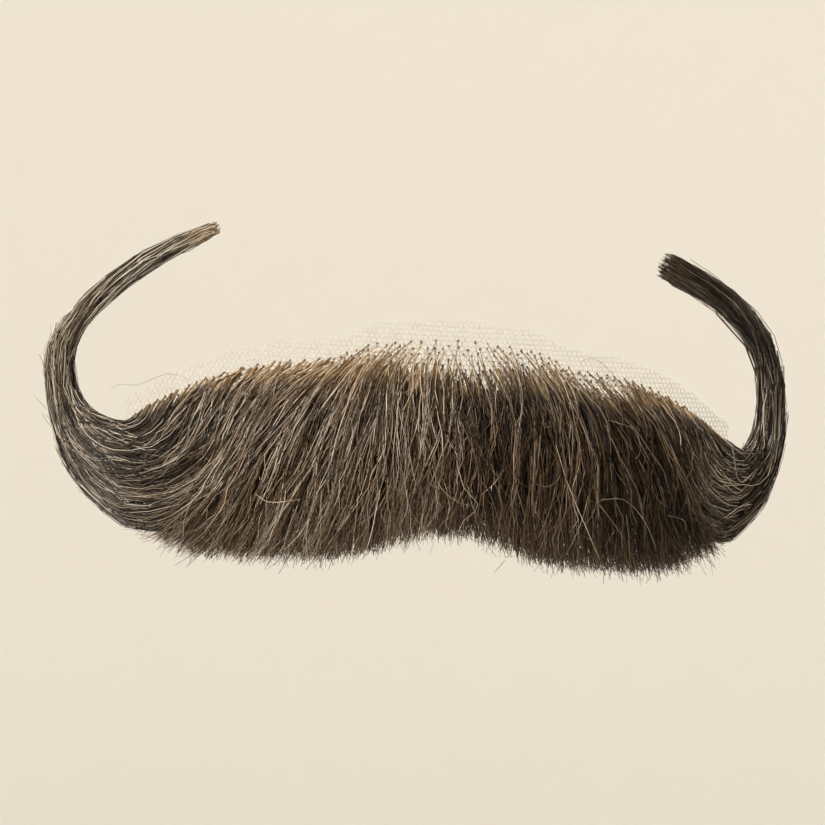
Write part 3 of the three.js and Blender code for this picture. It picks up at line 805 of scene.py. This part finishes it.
def hair_material(name, dark_to_light, ends, fading, roughness, root_reach, later_light_and_shade):
    """Brown hair: each hair has its own tone, dark in its knot, lighter just after it and faded over the
    last share of its length. The lighter roots are partly the hair's own colour and partly painted light on
    the thin hairs by the knots. The later tone is painted light when above zero and painted shade when
    below, added to the tone of its second half."""
    material, add, put = shade(name, roughness)
    place = add("ShaderNodeUVMap", uv_map="OFBake")
    along = add("ShaderNodeSeparateXYZ", {0: place})
    tone = add("ShaderNodeSeparateXYZ", {0: place}, out=1)
    stretched = add("ShaderNodeMapping", {"Vector": place, "Scale": (9.0, 80.0, 1.0)})
    streak = add("ShaderNodeTexNoise", {"Vector": stretched, "Scale": 1.0, "Detail": 3.0})
    shift = add("ShaderNodeMath", {0: streak, 1: -0.5}, operation="ADD")
    shift = add("ShaderNodeMath", {0: shift, 1: 0.60}, operation="MULTIPLY")
    varied = add("ShaderNodeMath", {0: tone, 1: shift}, operation="ADD")
    # The later tone is painted light when above zero and painted shade when below, added over a curl's
    # second half.
    later = add("ShaderNodeMapRange", {0: along, 1: 0.40, 2: 0.62, 3: 0.0, 4: later_light_and_shade})
    varied = add("ShaderNodeMath", {0: varied, 1: later}, operation="ADD")
    body = ramp(add, varied, dark_to_light)
    spread = add("ShaderNodeMapping", {"Vector": place, "Scale": (2.0, 260.0, 1.0)})
    cloud = add("ShaderNodeTexNoise", {"Vector": spread, "Scale": 1.0, "Detail": 1.0})
    tint = ramp(add, cloud, [(0.38, (1.0, 0.87, 0.73)), (0.62, (0.89, 0.95, 1.0))])
    sockets = {0: 1.0, 6: body, 7: tint}
    body = add("ShaderNodeMix", sockets, out=2, data_type="RGBA", blend_type="MULTIPLY")
    # The roots are lighter: partly their own colour, partly painted light on the thin hairs by the knots.
    lit_and_fair = ramp(add, varied, LIT_FAIR_ROOTS)
    sockets = {0: along, 1: root_reach * 0.5, 2: root_reach, 3: 1.0, 4: 0.0}
    rooted = add("ShaderNodeMapRange", sockets, interpolation_type="SMOOTHSTEP")
    colour = add("ShaderNodeMix", {0: rooted, 6: body, 7: lit_and_fair}, out=2, data_type="RGBA")
    tied = add("ShaderNodeMapRange", {0: along, 1: 0.0, 2: root_reach * 0.09, 3: 0.7, 4: 0.0})
    colour = add("ShaderNodeMix", {0: tied, 6: colour, 7: (0.03, 0.018, 0.009, 1)}, out=2, data_type="RGBA")
    ended = add("ShaderNodeMapRange", {0: along, 1: 1 - fading, 2: 1.0, 3: 0.0, 4: 0.45})
    colour = add("ShaderNodeMix", {0: ended, 6: colour, 7: (*ends, 1)}, out=2, data_type="RGBA")
    put(colour, "Base Color")
    gloss = add("ShaderNodeMapRange", {0: streak, 1: 0.3, 2: 0.7, 3: roughness - 0.07, 4: roughness + 0.1})
    put(gloss, "Roughness")
    return material


def net_material():
    """Fine pale thread, a little see-through."""
    material, add, put = shade("net_thread", 0.6)
    place = add("ShaderNodeUVMap", uv_map="OFBake")
    cloud = add("ShaderNodeTexNoise", {"Vector": place, "Scale": 40.0, "Detail": 2.0})
    colour = ramp(add, cloud, [(0.3, (0.42, 0.37, 0.30)), (0.7, (0.58, 0.53, 0.45))])
    put(colour, "Base Color")
    put(0.25, "Alpha")
    return material


def knot_material():
    """Tight dark knots of the same hair."""
    material, add, put = shade("knotted_hair", 0.5)
    place = add("ShaderNodeUVMap", uv_map="OFBake")
    winding = add("ShaderNodeTexWave", {"Vector": place, "Scale": 6.0, "Distortion": 2.0})
    colour = ramp(add, winding, [(0.2, (0.04, 0.023, 0.010)), (0.8, (0.23, 0.14, 0.06))])
    put(colour, "Base Color")
    return material


# Colours in linear light: the combed hair, the waxed hair and the roots from dark to light tones, and
# what the cut ends fade to
COMBED = [
    (0.02, (0.004, 0.0016, 0.0004)),
    (0.27, (0.016, 0.0075, 0.0022)),
    (0.50, (0.072, 0.041, 0.018)),
    (0.70, (0.180, 0.130, 0.090)),
    (0.86, (0.340, 0.285, 0.235)),
    (0.98, (0.600, 0.530, 0.450)),
]
WAXED = [
    (0.02, (0.005, 0.003, 0.0015)),
    (0.27, (0.016, 0.010, 0.0055)),
    (0.50, (0.066, 0.048, 0.033)),
    (0.70, (0.170, 0.137, 0.103)),
    (0.86, (0.350, 0.308, 0.258)),
    (0.98, (0.570, 0.520, 0.450)),
]
# Lighter roots: partly the hair's own colour and partly painted light and highlight on the thin hairs by
# the knots.
LIT_FAIR_ROOTS = [
    (0.05, (0.090, 0.054, 0.024)),
    (0.40, (0.200, 0.126, 0.061)),
    (0.65, (0.380, 0.262, 0.145)),
    (0.90, (0.640, 0.500, 0.335)),
]
CUT_ENDS = (0.10, 0.066, 0.038)


# The pieces

def side_hair(side, tree, rng):
    """The pieces of hair of one side, each with the solid that it stands for, if any."""
    name = side["name"]
    finish = {"fading": 0.25, "roughness": 0.38, "root_reach": 0.22, "later_light_and_shade": 0.0}
    combed = hair_material(name + "_combed_hair", COMBED, CUT_ENDS, **finish)
    finish = {"fading": 0.06, "roughness": 0.34, "root_reach": 0.09, "later_light_and_shade": side["later_light_and_shade"]}
    waxed = hair_material(name + "_waxed_hair", WAXED, side["tip_colour"], **finish)
    common = {
        "Hairs per Lock": 3,
        "Hair Width": 0.13 * MM,
        "Root Share": 0.6,
        "Tip Share": 0.55,
        "Root Splay": 0.10 * MM,
        "Wander Scale": 160.0,
        "Gather": 1.0,
        "Tone Spread": 0.9,
    }
    top = {
        **common,
        "Body Splay": 0.5 * MM,
        "Tip Splay": 1.0 * MM,
        "Wander": 6.5 * MM,
        "Length Loss": 0.05,
        "Hair": combed,
    }
    middle = {**top, "Hairs per Lock": 5, "Hair Width": 0.15 * MM, "Tone Spread": 0.7}
    under = {**top, "Hair Width": 0.30 * MM, "Tip Share": 0.3, "Tone Spread": 0.35}
    curl = {
        **common,
        "Hairs per Lock": 5,
        "Hair Width": 0.13 * MM,
        "Gather": side["tip_gather"],
        "Tone Spread": side["curl_spread"],
        "Body Splay": 0.50 * MM,
        "Tip Splay": 0.45 * MM,
        "Wander": side["curl_wander"] * MM,
        "Length Loss": 0.03,
        "Tip Share": 0.9,
        "Hair": waxed,
    }
    curl_under = {
        **curl,
        "Hairs per Lock": 3,
        "Hair Width": 0.32 * MM,
        "Tone Spread": 0.35,
        "Wander": 1.0 * MM,
    }
    single = {
        **common,
        "Hairs per Lock": 1,
        "Hair Width": 0.10 * MM,
        "Body Splay": 0.0,
        "Tip Splay": 0.0,
        "Wander": 0.8 * MM,
        "Length Loss": 0.0,
        "Tone Spread": 0.0,
        "Hair": combed,
    }
    middle_rows = range(4, TOP_ROWS + 2)
    under_rows = range(TOP_ROWS, KNOT_ROWS)
    wing = [
        ("wing_top_hair", {"rows": range(TOP_ROWS), "last": 1.75, "share": 0.66, "steps": 16}, top),
        ("wing_middle_hair", {"rows": middle_rows, "last": 1.12, "share": 0.28, "steps": 10}, middle),
        ("wing_under_hair", {"rows": under_rows, "last": 1.12, "share": 0.8, "steps": 6}, under),
    ]
    side_run = {"count": 80, "steps": 16, "reach": (0.16, 0.6), "surface": 0.75, "flare": 0.35}
    long_run = {"count": 190, "steps": 22, "reach": (0.93, 1.0), "surface": 0.4, "flare": 0.0}
    under_run = {"count": 70, "steps": 10, "reach": (0.3, 0.85), "surface": 0.15, "flare": 0.0}
    sets = [(piece, wing_guides(side, rng, **how), values, "wing_") for piece, how, values in wing]
    sets += [
        ("side_hair", curl_guides(side, rng, **side_run), curl, "wing_"),
        ("curl_hair", curl_guides(side, rng, **long_run), curl, "curl_"),
        ("curl_under_hair", curl_guides(side, rng, **under_run), curl_under, "curl_"),
        ("curl_edge_hair", edge_guides(side, rng), single, "curl_"),
        ("crossing_hair", crossing_guides(side, rng, count=105), single, "wing_"),
        ("loose_hair", loose_guides(side), single, "wing_"),
    ]
    made = []
    for number, (piece, (places, tone), values, node) in enumerate(sets):
        source = lines_object(name + "_" + piece + "_guides", places, tone)
        values = {**values, "Seed": 11 * number + 100 * (side["sign"] + 1)}
        made.append((grow(source, tree, values, name + "_" + piece), node + name))
    return made


def net_cells():
    """Corners and edges of the net's six-sided cells, laid over the wrap and cut to the crescent."""
    edge = NET_CELL / math.sqrt(3)
    fine = np.linspace(0, NET_REACH, 600)
    length = np.concatenate([[0], np.cumsum(np.hypot(np.diff(fine), np.diff(wrap(fine))))])
    points = {}
    links = []

    def corner(across, up):
        key = (round(across / edge * 4), round(up / edge * 4))
        x = math.copysign(float(np.interp(abs(across), length, fine)), across)
        top = float(knot_height(abs(x))) + NET_MARGIN
        narrowing = math.cos(math.pi / 2 * min(abs(x) / NET_REACH, 1) ** NET_NARROWING)
        foot = top - (NET_END_HEIGHT + (NET_HEIGHT - NET_END_HEIGHT) * narrowing)
        if abs(across) > length[-1] or not foot < up < top:
            return None
        if key not in points:
            points[key] = (len(points), (x, float(wrap(x)) - NET_WALL / 2, up))
        return points[key][0]

    rows = math.ceil(40 / (1.5 * edge))
    columns = math.ceil(length[-1] / NET_CELL) + 1
    for row in range(-rows, rows):
        for column in range(-columns, columns):
            across = (column + (row % 2) / 2) * NET_CELL
            up = row * 1.5 * edge
            low = corner(across, up)
            high = corner(across, up + edge)
            left = corner(across - NET_CELL / 2, up + 1.5 * edge)
            right = corner(across + NET_CELL / 2, up + 1.5 * edge)
            ends = [(low, high), (high, left), (high, right)]
            links += [pair for pair in ends if None not in pair]
    places = [place for _, place in sorted(points.values())]
    used = sorted({i for pair in links for i in pair})
    number = {old: new for new, old in enumerate(used)}
    links = [(number[a], number[b]) for a, b in links]
    return np.array([places[i] for i in used]), links, 2 * length[-1]


def make_net(tree):
    """The net, with its flat cut's width, height and area in metres."""
    places, links, width = net_cells()
    source = object_of(mesh_of("net_cells", places, links))
    values = {"Thread Width": NET_THREAD * MM, "Net Reach": NET_REACH * MM, "Net": net_material()}
    net = grow(source, tree, values, "knotting_net")
    height = places[:, 2].max() - places[:, 2].min()
    cell_area = NET_CELL**2 * math.sqrt(3) / 2
    area = len(links) / 3 * cell_area
    return net, (width * MM, height * MM), area * MM * MM


def make_knots():
    """A knot where each lock is tied to the net."""
    places = []
    for side in (LEFT, RIGHT):
        at, drop = side["knots"][:, :2].T
        out, up = lock_place(side, at, drop / lock_length(side, at))
        x = side["sign"] * out
        places.append(np.stack([x, wrap(x) - NET_WALL - KNOT_STANDOFF, up], axis=1))
    source = object_of(mesh_of("knot_places", np.concatenate(places)))
    values = {"Knot Size": KNOT_SIZE * MM, "Seed": 5, "Knot": knot_material()}
    return grow(source, knot_tree(), values, "hair_knots")


# Stage, light and camera

def make_stage():
    """A pale floor below the piece that turns up into a wall all round, out of the way of every view."""
    floor = -300
    flat = 1300
    bend = 500
    wall = 1600
    profile = [(flat, floor)]
    for turn in np.radians(np.linspace(0, 90, 9)[1:]):
        profile.append((flat + bend * math.sin(turn), floor + bend * (1 - math.cos(turn))))
    profile.append((flat + bend, floor + bend + wall))
    turns = 64
    points = []
    for radius, height in profile:
        for step in range(turns):
            angle = 2 * math.pi * step / turns
            points.append((radius * math.cos(angle), radius * math.sin(angle), height))
    faces = [tuple(range(turns))]
    for ring in range(len(profile) - 1):
        for step in range(turns):
            a = ring * turns + step
            b = ring * turns + (step + 1) % turns
            faces.append((b, a, a + turns, b + turns))
    mesh = mesh_of("backdrop", points, faces=faces)
    for face in mesh.polygons:
        face.use_smooth = face.index > 0
    paint, _, put = shade("backdrop_paint", 0.9)
    put((0.82, 0.79, 0.73, 1), "Base Color")
    put(0.1, "Specular IOR Level")
    mesh.materials.append(paint)
    object_of(mesh)


def make_light(name, place, size, power, colour, aim=(0, 0, 0)):
    """A square lamp that faces the middle of the piece, or another place."""
    data = bpy.data.lights.new(name, "AREA")
    data.shape = "SQUARE"
    data.size = size
    data.energy = power
    data.color = colour
    lamp = bpy.data.objects.new(name, data)
    lamp.location = place
    lamp.rotation_euler = (Vector(aim) - Vector(place)).to_track_quat("-Z", "Y").to_euler()
    bpy.context.scene.collection.objects.link(lamp)


def make_lights():
    """Strong soft light from the upper left, a little from the right, and a pale room."""
    make_light("key", (-0.90, -0.66, 0.66), 0.25, 31.0, (1.0, 0.97, 0.92))
    make_light("fill", (0.70, -0.90, 0.10), 0.60, 0.7, (1.0, 0.97, 0.94))
    make_light("rim", (-0.20, 0.30, 0.80), 0.40, 5.0, (1.0, 0.98, 0.95))
    make_light("wall_left", (-0.60, 0.60, 0.90), 0.50, 1.9, (1.0, 0.97, 0.92), (-0.5, 1.7, 0.0))
    make_light("wall_right", (0.60, 0.60, 0.90), 0.50, 1.9, (1.0, 0.97, 0.92), (0.5, 1.7, 0.0))
    world = bpy.data.worlds.new("room")
    world.use_nodes = True
    world.node_tree.nodes["Background"].inputs[0].default_value = (1.0, 0.90, 0.77, 1)
    world.node_tree.nodes["Background"].inputs[1].default_value = 0.09
    bpy.context.scene.world = world


def make_camera():
    """The photograph's view: a little from the left, nearly level, and turned a few degrees."""
    turn = math.radians(-10.5)
    rise = math.radians(1.0)
    roll = math.radians(2.7)
    distance = 0.700
    per_pixel = 0.17 * MM
    picture = 825
    origin_pixel = (452, 378)
    right = Vector((math.cos(turn), math.sin(turn), 0))
    back = Vector((math.sin(turn) * math.cos(rise), -math.cos(turn) * math.cos(rise), math.sin(rise)))
    up = back.cross(right)
    rolled_right = right * math.cos(roll) + up * math.sin(roll)
    rolled_up = up * math.cos(roll) - right * math.sin(roll)
    aside = (picture / 2 - origin_pixel[0]) * per_pixel
    below = (picture / 2 - origin_pixel[1]) * per_pixel
    data = bpy.data.cameras.new("camera")
    data.sensor_width = 36
    data.lens = 36 * distance / per_pixel / picture
    data.clip_start = 0.05
    data.clip_end = 10
    camera = bpy.data.objects.new("camera", data)
    place = rolled_right * aside - rolled_up * below + back * distance
    turned = Matrix((rolled_right, rolled_up, back)).transposed().to_4x4()
    camera.matrix_world = Matrix.Translation(place) @ turned
    bpy.context.scene.collection.objects.link(camera)
    bpy.context.scene.camera = camera


make_camera()
make_lights()
make_stage()
bpy.context.scene.view_settings.view_transform = "Standard"

rng = np.random.default_rng(7)
for side in (LEFT, RIGHT):
    side["knots"] = knots(side, rng)
    side["stations"] = curl_stations(side)

hairs = hair_tree()
for side in (LEFT, RIGHT):
    for piece, node in side_hair(side, hairs, rng):
        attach(piece, "root")
        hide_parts(node)

net, flat, area = make_net(net_tree())
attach(net, "root")
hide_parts("lace_net")

tied = make_knots()
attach(tied, "root")
